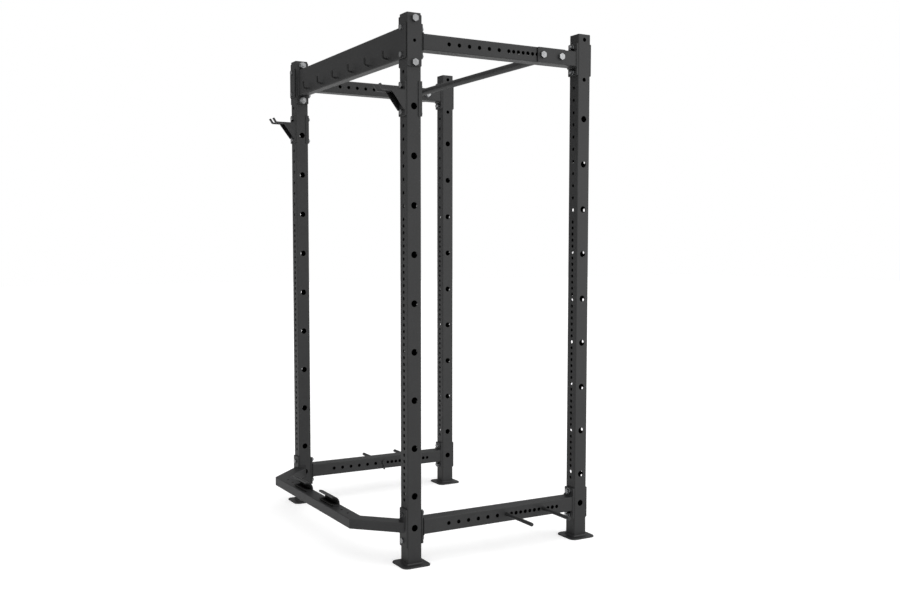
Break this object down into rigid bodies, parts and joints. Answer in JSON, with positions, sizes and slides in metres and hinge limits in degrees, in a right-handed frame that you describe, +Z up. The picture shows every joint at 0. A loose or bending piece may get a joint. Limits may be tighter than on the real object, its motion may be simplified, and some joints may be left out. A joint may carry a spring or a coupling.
{
  "type": "power cage",
  "caption": "Free-standing four-post power cage with drilled posts, bolted beams, pull-up bar, band pegs, storage hooks, bar hangers and a stepped rear crossmember.",
  "frame": {"origin": "on the floor, under the middle of the four posts", "axes": "+Z up, +Y towards the rear with the storage beam and crossmember, +X to the right seen from the front"},
  "size_m": [1.55, 1.044, 2.095],
  "materials": {
    "powder_coat": "fine textured satin powder coat",
    "zinc": "bright zinc plating",
    "cap_plastic": "moulded, matt",
    "pad_rubber": "matt"
  },
  "bodies": {
    "cage": {"bar_end_plate_left": "powder_coat", "bar_end_plate_right": "powder_coat", "bar_hanger_left": "powder_coat", "bar_hanger_right": "powder_coat", "bar_outer_plate_left": "powder_coat", "bar_outer_plate_right": "powder_coat", "bench_dock_left": "powder_coat", "bench_dock_right": "powder_coat", "corner_bracket_left": "powder_coat", "corner_bracket_right": "powder_coat", "dock_bolts": "zinc", "dock_liner_left": "pad_rubber", "dock_liner_right": "pad_rubber", "foot_plate_front_left": "powder_coat", "foot_plate_front_right": "powder_coat", "foot_plate_rear_left": "powder_coat", "foot_plate_rear_right": "powder_coat", "hanger_channel_left": "powder_coat", "hanger_channel_right": "powder_coat", "large_bolts": "zinc", "large_nuts": "zinc", "large_washers": "zinc", "lower_backing_front_left": "powder_coat", "lower_backing_front_right": "powder_coat", "lower_beam_left": "powder_coat", "lower_beam_right": "powder_coat", "lower_flange_front_left": "powder_coat", "lower_flange_front_right": "powder_coat", "lower_flange_rear_left": "powder_coat", "lower_flange_rear_right": "powder_coat", "outer_clamp_plate_left": "powder_coat", "outer_clamp_plate_right": "powder_coat", "post_front_left": "powder_coat", "post_front_right": "powder_coat", "post_rear_left": "powder_coat", "post_rear_right": "powder_coat", "pull_up_bar": "powder_coat", "rear_beam_flange_left": "powder_coat", "rear_beam_flange_right": "powder_coat", "rear_crossmember": "powder_coat", "rear_top_beam": "powder_coat", "small_bolts": "zinc", "small_nuts": "zinc", "small_washers": "zinc", "storage_hooks": "powder_coat", "top_caps": "cap_plastic", "upper_backing_front_left": "powder_coat", "upper_backing_front_right": "powder_coat", "upper_backing_rear_left": "powder_coat", "upper_backing_rear_right": "powder_coat", "upper_beam_left": "powder_coat", "upper_beam_right": "powder_coat", "upper_flange_front_left": "powder_coat", "upper_flange_front_right": "powder_coat", "upper_flange_rear_left": "powder_coat", "upper_flange_rear_right": "powder_coat"},
    "band_peg_front_left": {"band_peg_front_left": "powder_coat"},
    "band_peg_front_right": {"band_peg_front_right": "powder_coat"},
    "band_peg_rear_left": {"band_peg_rear_left": "powder_coat"},
    "band_peg_rear_right": {"band_peg_rear_right": "powder_coat"}
  },
  "joints": [
    {"name": "band_peg_front_left_pull_out", "type": "slide", "parent": "cage", "child": "band_peg_front_left", "axis": [1, 0, 0], "range_m": [0, 0.24]},
    {"name": "band_peg_front_right_pull_out", "type": "slide", "parent": "cage", "child": "band_peg_front_right", "axis": [-1, 0, 0], "range_m": [0, 0.24]},
    {"name": "band_peg_rear_left_pull_out", "type": "slide", "parent": "cage", "child": "band_peg_rear_left", "axis": [1, 0, 0], "range_m": [0, 0.24]},
    {"name": "band_peg_rear_right_pull_out", "type": "slide", "parent": "cage", "child": "band_peg_rear_right", "axis": [-1, 0, 0], "range_m": [0, 0.24]}
  ]
}
